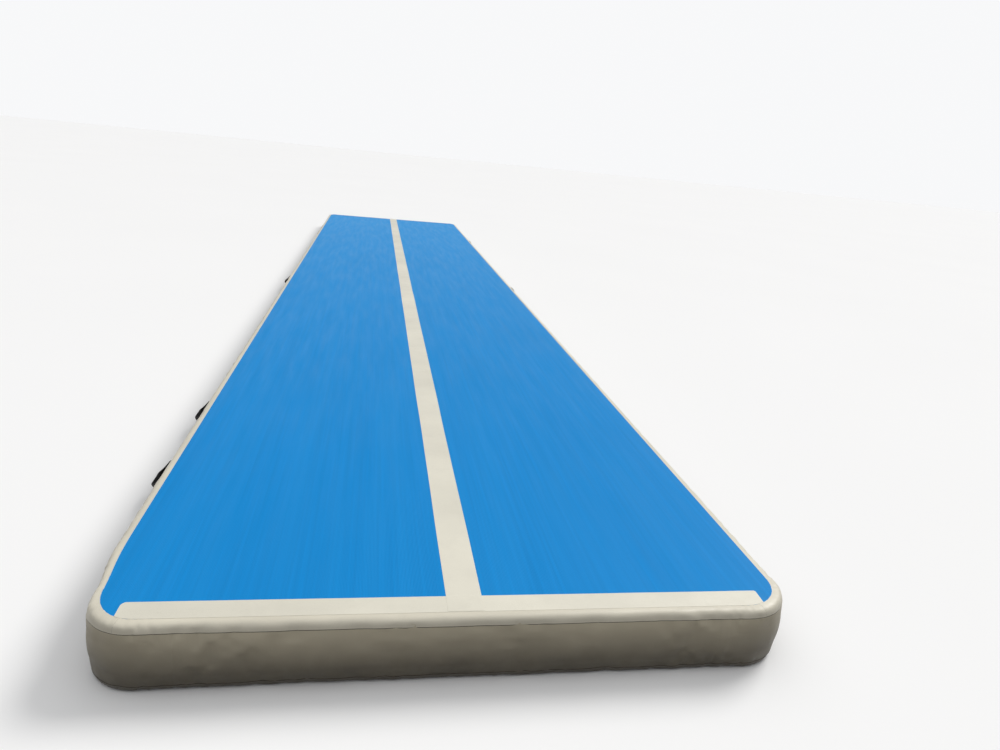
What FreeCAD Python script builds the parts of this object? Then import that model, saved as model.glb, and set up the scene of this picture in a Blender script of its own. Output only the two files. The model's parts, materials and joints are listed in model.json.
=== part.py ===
"""Air track mat: a 10 m inflated drop-stitch tumbling mat with carry handles and an inflation valve.

Frame: +Z up, X across the mat, Y along it. The origin is the middle of the resting face.
The near end is at -Y and the inflation valve is in the far end, at +Y. All sizes are in millimetres.
"""
import FreeCAD
import Part
import math
import os

from FreeCAD import Vector

# ---------------------------------------------------------------- driving dimensions
LENGTH = 10000.0            # over the bulged end walls
WIDTH = 2000.0              # over the bulged side walls
FACE_Z = 199.0              # height of the blue tumbling face
SIDE_BULGE = 35.0           # how far a wall stands out beyond the edge of the flat face
EDGE_RADIUS = 20.0          # rounding between a flat face and a wall
FACE_CORNER_RADIUS = 140.0  # plan radius of the flat face's corners

BASE_CLOTH = 0.5            # woven cloth that carries the drop threads
SKIN = 0.8                  # laminated vinyl skin over the base cloth
OUTER_WALL = 1.2
INNER_WALL = 1.0
TAPE = 0.8                  # seam tape over the edge of skin and wall
STRIP = 0.5                 # marking strips on the tumbling face
GLUE_GAP = 0.05             # room left between curved layers

TAPE_ON_FACE = 10.0         # seam tape's width on the flat face
TAPE_DROP = 21.0            # how far the seam tape reaches down the wall
TAPE_PAST_CORNER = 60.0     # corner tape's reach along the long side, past the corner
TAPE_ROUND_CORNER = 17.0    # how far an end's tape turns into the corner, in degrees
WALL_SEAM_X = 730.0         # where an end wall meets the side walls

CENTRE_LINE_WIDTH = 100.0
END_STRIP_WIDTH = 65.0
END_STRIP_HALF_LENGTH = 880.0
END_STRIP_CORNER = 22.0

THREAD_SIDE = 1.2
THREAD_PITCH = 200.0

WEBBING_WIDTH = 38.0
WEBBING = 2.0
GRIP_HEIGHT = 26.0          # the folded middle of a handle
GRIP_THICKNESS = 5.0
HANDLE_TAB = 45.0           # length of webbing sewn down at each end
HANDLE_HALF_SPAN = 112.0    # from the handle's middle to where the webbing leaves the wall
HANDLE_TOP_HALF = 50.0      # half of the straight grip
HANDLE_STANDOFF = 58.0      # from the sewn webbing to the grip
HANDLE_PIVOT = 14.0         # height of the bending line over the sewn webbing
HANDLE_BEND_Y = 97.0        # where the webbing starts to swing
STITCH_INSET = 8.0          # from a sewn tab's ends to its rows of stitches
PATCH_MARGIN = 9.0          # vinyl patch's border round a sewn tab
PATCH_CORNER = 10.0
PATCH = 0.8

# The set of each handle: place along the mat, and angle above level at rest, for each side.
HANDLES_LEFT = ((-3970.0, -35.0), (-3310.0, -33.0), (-20.0, -34.0), (3320.0, -68.0), (3970.0, -66.0))
HANDLES_RIGHT = ((-3970.0, -66.0), (-3310.0, -69.0), (20.0, 44.0), (3340.0, 46.0), (3970.0, -67.0))

VALVE_X = -600.0
FLANGE_RADIUS = 30.0
BARREL_RADIUS = 21.0
WALL_HOLE_RADIUS = BARREL_RADIUS + 0.5
PORT_RADIUS = 17.0
CAP_PLUG_RADIUS = 15.0
VALVE_PATCH_RADIUS = 58.0
TETHER_HINGE_DROP = 34.3    # hinge of the cap's tether below the valve's axis

# ---------------------------------------------------------------- sizes that follow
FACE_HALF_W = WIDTH / 2 - SIDE_BULGE
FACE_HALF_L = LENGTH / 2 - SIDE_BULGE
CORNER_X = FACE_HALF_W - FACE_CORNER_RADIUS
CORNER_Y = FACE_HALF_L - FACE_CORNER_RADIUS
MID_Z = FACE_Z / 2
WALL_HALF = MID_Z - TAPE - GLUE_GAP         # half the height of the wall's outer surface
WALL_SPREAD = 2 * math.atan2(SIDE_BULGE - EDGE_RADIUS, WALL_HALF - EDGE_RADIUS)
WALL_RADIUS = EDGE_RADIUS + (WALL_HALF - EDGE_RADIUS) / math.sin(WALL_SPREAD)
TAPE_ANGLE = math.asin((MID_Z - TAPE_DROP) / WALL_RADIUS)
RIGHT_ANGLE = math.pi / 2
SMALL_TURN = math.degrees(GLUE_GAP / FACE_CORNER_RADIUS)
UP = Vector(0, 0, 1)
SKIN_INSET = TAPE_ON_FACE + GLUE_GAP
SKIN_HALF_W = FACE_HALF_W - SKIN_INSET
SKIN_HALF_L = FACE_HALF_L - SKIN_INSET
SKIN_CORNER_RADIUS = FACE_CORNER_RADIUS - SKIN_INSET


def save(name, shape):
    """Writes one sub-part, after a look at its solids."""
    if not shape.isValid() or not shape.Solids:
        raise RuntimeError(f"{name} isn't a valid solid")
    shape.exportStep(f"parts/{name}.step")
    print(f"{name}: {len(shape.Solids)} solids, {shape.Volume / 1000:.1f} cm3")


def fused(solids):
    """One clean solid from solids that share faces."""
    whole = solids[0] if len(solids) == 1 else solids[0].fuse(solids[1:])
    return whole.removeSplitter()


def box(x0, x1, y0, y1, z0, z1):
    return Part.makeBox(x1 - x0, y1 - y0, z1 - z0, Vector(x0, y0, z0))


def rod(radius, z0, z1, x=0.0, y=0.0):
    return Part.makeCylinder(radius, z1 - z0, Vector(x, y, z0), UP)


def ring(outer, inner, z0, z1):
    return rod(outer, z0, z1).cut(rod(inner, z0 - 1, z1 + 1))


# ---------------------------------------------------------------- the wall's cross-section
def wall_point(angle, offset, large):
    """A point of the wall's section, (outward, 0, height). angle is the normal's angle above level."""
    if large:
        reach = WALL_RADIUS + offset
        return Vector(SIDE_BULGE - WALL_RADIUS + reach * math.cos(angle), 0, MID_Z + reach * math.sin(angle))
    reach = EDGE_RADIUS + offset
    rise = math.copysign(WALL_HALF - EDGE_RADIUS, angle)
    return Vector(reach * math.cos(angle), 0, MID_Z + rise + reach * math.sin(angle))


def wall_arcs(top, bottom, offset):
    """The section's line from one normal angle down to another, as tangent arcs."""
    spans = [(RIGHT_ANGLE, WALL_SPREAD, False), (WALL_SPREAD, -WALL_SPREAD, True),
             (-WALL_SPREAD, -RIGHT_ANGLE, False)]
    arcs = []
    for high, low, large in spans:
        start, end = min(high, top), max(low, bottom)
        if start - end > 1e-6:
            middle = (start + end) / 2
            points = [wall_point(a, offset, large) for a in (start, middle, end)]
            arcs.append(Part.Arc(*points).toShape())
    return arcs


def band_face(outer, inner, top=RIGHT_ANGLE, bottom=-RIGHT_ANGLE, flat=0.0):
    """The section of a layer between two offsets from the wall's outer surface.
    flat extends it inwards over the flat face, at whichever end is level."""
    outside, inside = wall_arcs(top, bottom, outer), wall_arcs(top, bottom, inner)
    upper = [outside[0].Vertexes[0].Point, inside[0].Vertexes[0].Point]
    lower = [outside[-1].Vertexes[-1].Point, inside[-1].Vertexes[-1].Point]
    edges = outside + inside
    shift = Vector(-flat, 0, 0)
    for ends, level in ((upper, top > RIGHT_ANGLE - 1e-6), (lower, bottom < 1e-6 - RIGHT_ANGLE)):
        if flat and level:
            a, b = ends
            corners = [a, a + shift, b + shift, b]
            edges += [Part.makeLine(p, q) for p, q in zip(corners, corners[1:])]
        else:
            edges.append(Part.makeLine(*ends))
    return Part.Face(Part.Wire(Part.__sortEdges__(edges)))


def placed(face, x, y, heading):
    """The section stood at a point of the face's edge, looking outwards along heading, in degrees."""
    copy = face.copy()
    copy.rotate(Vector(0, 0, 0), UP, heading)
    copy.translate(Vector(x, y, 0))
    return copy


def straight(face, x0, y0, x1, y1, heading):
    return placed(face, x0, y0, heading).extrude(Vector(x1 - x0, y1 - y0, 0))


def corner(face, side_x, side_y, start=0.0, end=90.0):
    """The section swept round the corner in quadrant (side_x, side_y), between angles from the X axis."""
    centre = Vector(side_x * CORNER_X, side_y * CORNER_Y, 0)
    turn = side_x * side_y
    base = 0.0 if side_x > 0 else 180.0
    first = math.radians(base + turn * start)
    x = centre.x + FACE_CORNER_RADIUS * math.cos(first)
    y = centre.y + FACE_CORNER_RADIUS * math.sin(first)
    section = placed(face, x, y, base + turn * start)
    return section.revolve(centre, UP, turn * (end - start))


def end_band(face, side_y, half):
    """A layer along an end, between X = -half and +half."""
    return straight(face, -half, side_y * FACE_HALF_L, half, side_y * FACE_HALF_L, 90.0 * side_y)


def side_band(face, side_x, half):
    """A layer along a long side, between Y = -half and +half."""
    heading = 0.0 if side_x > 0 else 180.0
    return straight(face, side_x * FACE_HALF_W, -half, side_x * FACE_HALF_W, half, heading)


# ---------------------------------------------------------------- sheets and threads
def plate(half_w, half_l, radius, z0, z1):
    """A flat sheet with rounded corners."""
    block = box(-half_w, half_w, -half_l, half_l, z0, z1)
    upright = [e for e in block.Edges if abs(e.Vertexes[0].Z - e.Vertexes[-1].Z) > (z1 - z0) / 2]
    return block.makeFillet(radius, upright)


def make_sheets():
    cloth_w, cloth_l = FACE_HALF_W - GLUE_GAP, FACE_HALF_L - GLUE_GAP
    cloth_r = FACE_CORNER_RADIUS - GLUE_GAP
    skin_w, skin_l, skin_r = SKIN_HALF_W, SKIN_HALF_L, SKIN_CORNER_RADIUS
    top_of_cloth = FACE_Z - SKIN - GLUE_GAP
    save("top_base_cloth", plate(cloth_w, cloth_l, cloth_r, top_of_cloth - BASE_CLOTH, top_of_cloth))
    save("bottom_base_cloth", plate(cloth_w, cloth_l, cloth_r, SKIN + GLUE_GAP, SKIN + GLUE_GAP + BASE_CLOTH))
    save("top_skin", plate(skin_w, skin_l, skin_r, FACE_Z - SKIN, FACE_Z))
    save("bottom_skin", plate(skin_w, skin_l, skin_r, 0, SKIN))
    low = SKIN + GLUE_GAP + BASE_CLOTH
    high = top_of_cloth - BASE_CLOTH
    rows = int((FACE_HALF_W - THREAD_PITCH / 2) // THREAD_PITCH)
    columns = int((FACE_HALF_L - THREAD_PITCH / 2) // THREAD_PITCH)
    half = THREAD_SIDE / 2
    threads = []
    for i in range(-rows, rows + 1):
        for j in range(-columns, columns + 1):
            x, y = i * THREAD_PITCH, j * THREAD_PITCH
            threads.append(box(x - half, x + half, y - half, y + half, low, high))
    save("drop_threads", Part.makeCompound(threads))


def make_strips():
    """The line down the middle and the strip across each end, both laid on the tumbling face."""
    inner_edge = SKIN_HALF_L - END_STRIP_WIDTH
    outline = plate(SKIN_HALF_W, SKIN_HALF_L, SKIN_CORNER_RADIUS, FACE_Z, FACE_Z + STRIP)
    for name, side in (("near", -1), ("far", 1)):
        y0, y1 = sorted((side * inner_edge, side * SKIN_HALF_L))
        strip = box(-END_STRIP_HALF_LENGTH, END_STRIP_HALF_LENGTH, y0, y1, FACE_Z, FACE_Z + STRIP)
        inner = [e for e in strip.Edges if abs(e.CenterOfMass.y - side * inner_edge) < 1
                 and abs(e.Vertexes[0].Z - e.Vertexes[-1].Z) > STRIP / 2]
        save(f"end_strip_{name}", strip.makeFillet(END_STRIP_CORNER, inner).common(outline))
    half = CENTRE_LINE_WIDTH / 2
    end, lap = SKIN_HALF_L - 2, 4.0
    line = [box(-half, half, -inner_edge, inner_edge, FACE_Z, FACE_Z + STRIP)]
    for side in (-1, 1):
        y0, y1 = sorted((side * (inner_edge - lap), side * end))
        line.append(box(-half, half, y0, y1, FACE_Z + STRIP, FACE_Z + 2 * STRIP))
    save("centre_line", fused(line))


# ---------------------------------------------------------------- walls and seam tapes
def valve_hole(radius):
    """A cylinder along the valve's axis, right through the far wall."""
    return Part.makeCylinder(radius, 120, Vector(VALVE_X, LENGTH / 2 - 60, MID_Z), Vector(0, 1, 0))


def make_walls():
    outer = band_face(0.0, -OUTER_WALL)
    lining = OUTER_WALL + GLUE_GAP
    inner = band_face(-lining, -lining - INNER_WALL)
    hole = valve_hole(WALL_HOLE_RADIUS)
    save("end_wall_near", end_band(outer, -1, WALL_SEAM_X - GLUE_GAP))
    save("end_wall_far", end_band(outer, 1, WALL_SEAM_X - GLUE_GAP).cut(hole))
    for name, side in (("left", -1), ("right", 1)):
        pieces = [side_band(outer, side, CORNER_Y)]
        for end in (-1, 1):
            pieces.append(corner(outer, side, end))
            y = end * FACE_HALF_L
            pieces.append(straight(outer, side * CORNER_X, y, side * WALL_SEAM_X, y, 90.0 * end))
        save(f"side_wall_{name}", fused(pieces))
    loop = [end_band(inner, end, CORNER_X) for end in (-1, 1)]
    loop += [side_band(inner, side, CORNER_Y) for side in (-1, 1)]
    loop += [corner(inner, side, end) for side in (-1, 1) for end in (-1, 1)]
    save("inner_wall", fused(loop).cut(hole))


def make_tapes():
    """Seam tapes over both edges: one along each end and side, and one round each corner."""
    outer, inner = TAPE + GLUE_GAP, GLUE_GAP
    faces = {"top": band_face(outer, inner, bottom=TAPE_ANGLE, flat=TAPE_ON_FACE),
             "bottom": band_face(outer, inner, top=-TAPE_ANGLE, flat=TAPE_ON_FACE)}
    joint_y = CORNER_Y - TAPE_PAST_CORNER
    for level, face in faces.items():
        for end_name, end in (("near", -1), ("far", 1)):
            start = 90.0 - TAPE_ROUND_CORNER
            turns = [corner(face, side, end, start + SMALL_TURN, 90.0) for side in (-1, 1)]
            save(f"{level}_tape_{end_name}", fused([end_band(face, end, CORNER_X)] + turns))
            for side_name, side in (("left", -1), ("right", 1)):
                x = side * FACE_HALF_W
                heading = 0.0 if side > 0 else 180.0
                reach = straight(face, x, end * CORNER_Y, x, end * joint_y, heading)
                save(f"{level}_tape_corner_{end_name}_{side_name}", fused([corner(face, side, end, 0.0, start), reach]))
        for side_name, side in (("left", -1), ("right", 1)):
            save(f"{level}_tape_{side_name}", side_band(face, side, joint_y - GLUE_GAP))


# ---------------------------------------------------------------- carry handles
def rounded_path(points, radii):
    """A wire of straight runs with an arc of the given radius at each inner point."""
    edges, start = [], points[0]
    for before, at, after, radius in zip(points, points[1:], points[2:], radii):
        into, out = (at - before).normalize(), (after - at).normalize()
        half_turn = into.getAngle(out) / 2
        setback = radius * math.tan(half_turn)
        a, b = at - into * setback, at + out * setback
        towards = (out - into).normalize()
        middle = at + towards * (radius / math.cos(half_turn) - radius)
        edges += [Part.makeLine(start, a), Part.Arc(a, middle, b).toShape()]
        start = b
    edges.append(Part.makeLine(start, points[-1]))
    return Part.Wire(edges)


def handle_path():
    """The webbing's middle line, (outward, along, 0), from the end of one sewn tab to the other."""
    end = HANDLE_HALF_SPAN + HANDLE_TAB
    shape = ((0, end), (0, HANDLE_HALF_SPAN), (HANDLE_STANDOFF, HANDLE_TOP_HALF))
    points = [Vector(out, -along, 0) for out, along in shape]
    points += [Vector(out, along, 0) for out, along in reversed(shape)]
    return rounded_path(points, (16.0, 30.0, 30.0, 16.0))


def strap(thickness, height):
    """A strap of rectangular section along the handle's path."""
    end = -(HANDLE_HALF_SPAN + HANDLE_TAB)
    t, h = thickness / 2, height / 2
    section = Part.makePolygon([Vector(-t, end, -h), Vector(t, end, -h), Vector(t, end, h), Vector(-t, end, h),
                                Vector(-t, end, -h)])
    return handle_path().makePipeShell([section], True, False)


def on_side(shape, side, y):
    """Moves a shape from the handle's frame to its place on a side wall."""
    webbing_x = WIDTH / 2 + GLUE_GAP + PATCH + GLUE_GAP + WEBBING / 2
    moved = shape.copy()
    if side < 0:
        moved.rotate(Vector(0, 0, 0), UP, 180)
    moved.translate(Vector(side * webbing_x, y, MID_Z))
    return moved


def rounded_block(y0, y1, z0, z1, x0, x1):
    block = box(x0, x1, y0, y1, z0, z1)
    along = [e for e in block.Edges if abs(e.Vertexes[0].X - e.Vertexes[-1].X) > 1]
    return block.makeFillet(PATCH_CORNER, along)


def make_handles():
    swing_room = GLUE_GAP * 3
    wide = box(-50, 150, -300, 300, -50, 50)
    middle = box(-50, 150, -HANDLE_BEND_Y + swing_room, HANDLE_BEND_Y - swing_room, -50, 50)
    outside = wide.cut(box(-60, 160, -HANDLE_BEND_Y - swing_room, HANDLE_BEND_Y + swing_room, -60, 60))
    grip = strap(GRIP_THICKNESS, GRIP_HEIGHT).common(middle)
    tabs = strap(WEBBING, WEBBING_WIDTH).common(outside)
    centre = HANDLE_HALF_SPAN + HANDLE_TAB / 2
    half_y, half_z = HANDLE_TAB / 2 + PATCH_MARGIN, WEBBING_WIDTH / 2 + PATCH_MARGIN
    stitch = 0.6
    all_tabs, all_stitches, all_patches = [], [], []
    for name, side, handles in (("left", -1, HANDLES_LEFT), ("right", 1, HANDLES_RIGHT)):
        layer = side_band(band_face(GLUE_GAP + PATCH, GLUE_GAP, WALL_SPREAD, -WALL_SPREAD), side, CORNER_Y)
        for number, (y, angle) in enumerate(handles, 1):
            loop = grip.copy()
            loop.rotate(Vector(HANDLE_PIVOT, 0, 0), Vector(0, -1, 0), angle)
            save(f"handle_grip_{name}_{number}", on_side(loop, side, y))
            all_tabs += on_side(tabs, side, y).Solids
            for end in (-1, 1):
                y_tab = y + end * centre
                x0, x1 = sorted((side * (WIDTH / 2 - 20), side * (WIDTH / 2 + 5)))
                cutter = rounded_block(y_tab - half_y, y_tab + half_y, MID_Z - half_z, MID_Z + half_z, x0, x1)
                all_patches += layer.common(cutter).Solids
                for row in (-1, 1):
                    at = end * (centre + row * (HANDLE_TAB / 2 - STITCH_INSET))
                    seam = box(WEBBING / 2, WEBBING / 2 + 0.3, at - stitch, at + stitch,
                               4 - WEBBING_WIDTH / 2, WEBBING_WIDTH / 2 - 4)
                    all_stitches += on_side(seam, side, y).Solids
    save("handle_tabs", Part.makeCompound(all_tabs))
    save("handle_stitching", Part.makeCompound(all_stitches))
    save("handle_patches", Part.makeCompound(all_patches))


# ---------------------------------------------------------------- inflation valve
def on_valve(shape):
    """Moves a shape from the valve's frame, whose +Z points out of the wall and +Y points down, to its place."""
    moved = shape.copy()
    moved.rotate(Vector(0, 0, 0), Vector(1, 0, 0), -90)
    moved.translate(Vector(VALVE_X, LENGTH / 2, MID_Z))
    return moved


def notched(shape, radius, notch, count, z0, z1):
    """Cuts finger notches round a rim."""
    for k in range(count):
        turn = 2 * math.pi * k / count
        shape = shape.cut(rod(notch, z0 - 1, z1 + 1, radius * math.cos(turn), radius * math.sin(turn)))
    return shape


def make_valve():
    patch_out = GLUE_GAP + PATCH
    flange = (2.5, 6.0)
    seat, spider = -38.0, (-24.0, -21.0)
    layer = end_band(band_face(patch_out, GLUE_GAP, WALL_SPREAD, -WALL_SPREAD), 1, WALL_SEAM_X)
    patch = layer.common(valve_hole(VALVE_PATCH_RADIUS)).cut(valve_hole(WALL_HOLE_RADIUS))
    save("valve_patch", patch)

    under = end_band(band_face(patch_out + GLUE_GAP, -10, WALL_SPREAD, -WALL_SPREAD), 1, WALL_SEAM_X)
    gasket = on_valve(ring(FLANGE_RADIUS - 1, BARREL_RADIUS + 0.4, -3, flange[0] - GLUE_GAP)).cut(under)
    save("valve_gasket", gasket)

    ear = box(-7, 7, FLANGE_RADIUS - 4, 43, flange[0], 4.5)
    shell = fused([rod(FLANGE_RADIUS, *flange), rod(BARREL_RADIUS, seat, flange[0]), ear])
    shell = shell.cut(rod(PORT_RADIUS, seat - 1, flange[1] + 1))
    hub = [rod(6, *spider)]
    for k in range(3):
        arm = box(0, PORT_RADIUS + 2, -1.5, 1.5, *spider)
        arm.rotate(Vector(0, 0, 0), UP, 120 * k)
        hub.append(arm)
    guide = fused(hub).cut(rod(2.7, spider[0] - 1, spider[1] + 1))
    save("valve_body", on_valve(fused([shell, guide])))

    nut = ring(FLANGE_RADIUS, BARREL_RADIUS + 0.1, -14, -4.4)
    save("valve_nut", on_valve(notched(nut, FLANGE_RADIUS + 1, 3.5, 8, -14, -4)))

    disc_top = seat - GLUE_GAP - 4
    save("valve_stem", on_valve(fused([rod(19, disc_top - 3, disc_top), rod(2.5, disc_top, -2)])))
    save("valve_poppet_seal", on_valve(ring(20, 14, disc_top + GLUE_GAP, seat - GLUE_GAP)))
    coil = Part.makeHelix(3.0, 11.5, 5.0)
    wire = Part.Wire(Part.makeCircle(0.5, Vector(5, 0, 0), Vector(0, 1, 0)))
    spring = Part.Wire(coil).makePipeShell([wire], True, True)
    spring.translate(Vector(0, 0, spider[1] + 0.65))
    save("valve_spring", on_valve(spring))
    button = rod(8, -8, 0).cut(rod(2.55, -9, -1.95)).fuse(box(-6, 6, -1, 1, -0.5, 1)).removeSplitter()
    save("valve_button", on_valve(button))

    neck = (6.3, 8.6)
    cap = notched(rod(27, neck[1], 14), 28.5, 3.0, 12, neck[1], 14)
    cap = cap.fuse([rod(22, *neck), rod(CAP_PLUG_RADIUS, 3, neck[0]), box(-20, 20, -4, 4, 13.5, 18)]).removeSplitter()
    save("valve_cap", on_valve(cap))
    save("valve_cap_seal", on_valve(ring(PORT_RADIUS - 0.4, CAP_PLUG_RADIUS + GLUE_GAP, 3.4, 5.6)))

    tether = fused([ring(26, 22.1, 6.7, 7.9), box(-5, 5, 24.5, TETHER_HINGE_DROP - 0.5, 6.7, 7.9)])
    save("valve_tether", on_valve(tether))
    anchor = fused([box(-5, 5, TETHER_HINGE_DROP + 0.5, 43, 4.55, 6.0), rod(3, 5.5, 7.2, 0, 39)])
    save("valve_tether_anchor", on_valve(anchor))


os.makedirs("parts", exist_ok=True)
make_sheets()
make_strips()
make_walls()
make_tapes()
make_handles()
make_valve()
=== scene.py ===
"""An inflated air track mat in a plain studio: blue face, cream walls, seam tapes and webbing handles."""
import json
import math

import bpy
import numpy as np
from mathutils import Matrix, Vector


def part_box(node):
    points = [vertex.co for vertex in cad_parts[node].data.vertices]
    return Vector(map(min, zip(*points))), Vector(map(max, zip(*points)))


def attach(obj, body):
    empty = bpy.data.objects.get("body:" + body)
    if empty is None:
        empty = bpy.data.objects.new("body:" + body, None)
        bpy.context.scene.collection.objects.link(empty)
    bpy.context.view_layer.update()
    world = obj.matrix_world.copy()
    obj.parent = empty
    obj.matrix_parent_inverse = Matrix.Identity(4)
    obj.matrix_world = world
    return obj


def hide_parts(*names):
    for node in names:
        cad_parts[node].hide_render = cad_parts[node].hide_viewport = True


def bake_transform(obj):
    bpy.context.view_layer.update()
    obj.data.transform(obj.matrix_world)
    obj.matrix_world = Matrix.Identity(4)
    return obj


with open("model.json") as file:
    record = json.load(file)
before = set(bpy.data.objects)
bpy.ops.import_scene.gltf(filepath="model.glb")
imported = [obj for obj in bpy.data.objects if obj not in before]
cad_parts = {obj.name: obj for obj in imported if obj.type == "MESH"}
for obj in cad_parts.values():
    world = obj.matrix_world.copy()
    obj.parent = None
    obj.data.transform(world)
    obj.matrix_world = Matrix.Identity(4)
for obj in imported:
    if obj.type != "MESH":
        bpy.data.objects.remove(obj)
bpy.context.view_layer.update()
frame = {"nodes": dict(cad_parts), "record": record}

NODES = frame["nodes"]
MAT = "mat"
MM = 0.001
DOWN = (0.0, 0.0, -1.0)

# ---- sizes of the mat, in metres
SKIN_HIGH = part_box("top_skin")[1]
TAPE_LOW, TAPE_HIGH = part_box("top_tape_left")
WALL_LOW, WALL_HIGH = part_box("side_wall_left")
STRIP_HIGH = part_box("end_strip_near")[1]
LINE_LOW, LINE_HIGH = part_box("centre_line")

TAPE_ON_FACE = 10 * MM
LAYER = 0.8 * MM
EDGE_RADIUS = 20 * MM
BULGE = WALL_HIGH[1] - SKIN_HIGH[1] - TAPE_ON_FACE
FACE_HALF_W = SKIN_HIGH[0] + TAPE_ON_FACE
FACE_HALF_L = SKIN_HIGH[1] + TAPE_ON_FACE
CORNER_RADIUS = 140 * MM
CORNER_X = FACE_HALF_W - CORNER_RADIUS
CORNER_Y = FACE_HALF_L - CORNER_RADIUS
SKIN_CORNER = 130 * MM
FACE_Z = SKIN_HIGH[2]
MID_Z = (WALL_LOW[2] + WALL_HIGH[2]) / 2
WALL_HALF = (WALL_HIGH[2] - WALL_LOW[2]) / 2
SPREAD = 2 * math.atan2(BULGE - EDGE_RADIUS, WALL_HALF - EDGE_RADIUS)
WALL_RADIUS = EDGE_RADIUS + (WALL_HALF - EDGE_RADIUS) / math.sin(SPREAD)
TAPE_ANGLE = math.asin((TAPE_LOW[2] - MID_Z) / WALL_RADIUS)
WALL_SEAM_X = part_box("end_wall_near")[1][0]
TAPE_JOINT_Y = TAPE_HIGH[1]
RIGHT_ANGLE = math.pi / 2
QUARTER = CORNER_RADIUS * RIGHT_ANGLE

EDGE_ROLL = 3.0 * MM        # how far the face's edge lies below its middle
EDGE_ROLL_WIDTH = 70 * MM
CORNER_PULL = 25 * MM       # how far the near left corner is drawn in
CORNER_PULL_WIDTH = 130 * MM
VALVE_HOLE = 22 * MM         # just outside the valve's barrel, and well inside its flange
CALM_WIDTH = 80 * MM         # over which the wrinkles come back, past something fixed to the wall
HANDLE_REACH = 175 * MM      # from a handle's middle to beyond its outer patch


# ---- numbers as fields
def smooth(a, b, x):
    """0 before a, 1 after b, and a smooth rise between them."""
    t = np.clip((np.asarray(x, float) - a) / (b - a), 0, 1)
    return t * t * (3 - 2 * t)


def bump(x, centre, width):
    """A smooth bell of height 1."""
    return np.exp(-((np.asarray(x, float) - centre) / width) ** 2)


def waves(x, y, size, seed, octaves=3, lap=None):
    """Smooth random waves, about -1 to 1, from sums of sines in random directions.
    With a lap they meet themselves again after that distance along x."""
    draw = np.random.default_rng(seed)
    total = np.zeros(np.broadcast(x, y).shape)
    weight = 0.0
    for octave in range(octaves):
        for _ in range(4):
            turn, phase = draw.uniform(0, 2 * math.pi, 2)
            k = 2 * math.pi / size * 1.9 ** octave * draw.uniform(0.7, 1.3)
            along, across = k * math.cos(turn), k * math.sin(turn)
            if lap:
                along = round(along * lap / (2 * math.pi)) * 2 * math.pi / lap
            total = total + 0.5 ** octave * np.sin(along * x + across * y + phase)
        weight += 0.5 ** octave * 2
    return total / weight


# ---- the flat face's edge, as one closed line
# s runs anticlockwise seen from above, starting at the middle of the near end.
ROUND_A_SIDE = [("turn", QUARTER), ("side", 2 * CORNER_Y), ("turn", QUARTER)]
STRETCHES = [("end", CORNER_X), *ROUND_A_SIDE, ("end", 2 * CORNER_X), *ROUND_A_SIDE, ("end", CORNER_X)]
STARTS = np.concatenate([[0.0], np.cumsum([length for _, length in STRETCHES])])
ROUND = float(STARTS[-1])
CORNERS = [(1, -1), (1, 1), (-1, 1), (-1, -1)]
FAR_MIDDLE = (STARTS[4] + STARTS[5]) / 2
VALVE_LOW, VALVE_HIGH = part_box("valve_patch")
VALVE_X, VALVE_Z = (VALVE_LOW[0] + VALVE_HIGH[0]) / 2, (VALVE_LOW[2] + VALVE_HIGH[2]) / 2
VALVE_PLACE = FAR_MIDDLE - VALVE_X


def edge_points(s):
    """Points of the face's edge, and the outward directions there, for distances s along it."""
    s = np.mod(s, ROUND)
    x, y, heading = np.zeros_like(s), np.zeros_like(s), np.zeros_like(s)
    corner = 0
    for index, (kind, length) in enumerate(STRETCHES):
        here = (s >= STARTS[index]) & (s <= STARTS[index + 1])
        t = s[here] - STARTS[index]
        side = index // 2
        base = (side - 1) * RIGHT_ANGLE
        if kind == "turn":
            sx, sy = CORNERS[corner]
            corner += 1
            turn = base + t / CORNER_RADIUS
            x[here] = sx * CORNER_X + CORNER_RADIUS * np.cos(turn)
            y[here] = sy * CORNER_Y + CORNER_RADIUS * np.sin(turn)
            heading[here] = turn
            continue
        along = t if index == 0 else t - length / 2
        if index == len(STRETCHES) - 1:
            along = t - length
        out = FACE_HALF_L if kind == "end" else FACE_HALF_W
        x[here] = out * math.cos(base) - along * math.sin(base)
        y[here] = out * math.sin(base) + along * math.cos(base)
        heading[here] = base
    return x, y, np.cos(heading), np.sin(heading)


def stations(s0, s1, coarse=25 * MM, fine=4 * MM):
    """Distances from s0 to s1, close together round corners, at the valve and near the range's ends."""
    marks = [s0]
    while marks[-1] < s1:
        s = marks[-1]
        wrapped = s % ROUND
        near_turn = min(max(STARTS[i] - wrapped, wrapped - STARTS[i + 1], 0) for i in (1, 3, 5, 7))
        near_valve = max(abs(wrapped - VALVE_PLACE) - 60 * MM, 0)
        near = min(near_turn, near_valve, s - s0, s1 - s)
        marks.append(s + np.interp(near, [0.02, 0.4], [fine, coarse]))
    marks[-1] = s1
    return np.array(marks)


def wall_line(angles, offset):
    """The wall's section, (outward, height), for angles of its normal above level."""
    angles = np.asarray(angles, float)
    large = np.abs(angles) <= SPREAD
    reach = np.where(large, WALL_RADIUS, EDGE_RADIUS) + offset
    u0 = np.where(large, BULGE - WALL_RADIUS, 0.0)
    z0 = np.where(large, 0.0, np.sign(angles) * (WALL_HALF - EDGE_RADIUS))
    return u0 + reach * np.cos(angles), MID_Z + z0 + reach * np.sin(angles)


def wall_points(s, u, z):
    """Points at distances u out from the face's edge and heights z, for places s round it."""
    x, y, nx, ny = [values[:, None] for values in edge_points(s)]
    return np.stack(np.broadcast_arrays(x + nx * u, y + ny * u, z), axis=-1)


def wall_normals(s, angles):
    """The directions at angles above level, facing out from the edge at places s."""
    _, _, nx, ny = edge_points(s)
    level = np.cos(angles)
    return np.stack(np.broadcast_arrays(nx[:, None] * level, ny[:, None] * level, np.sin(angles)), axis=-1)


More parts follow.
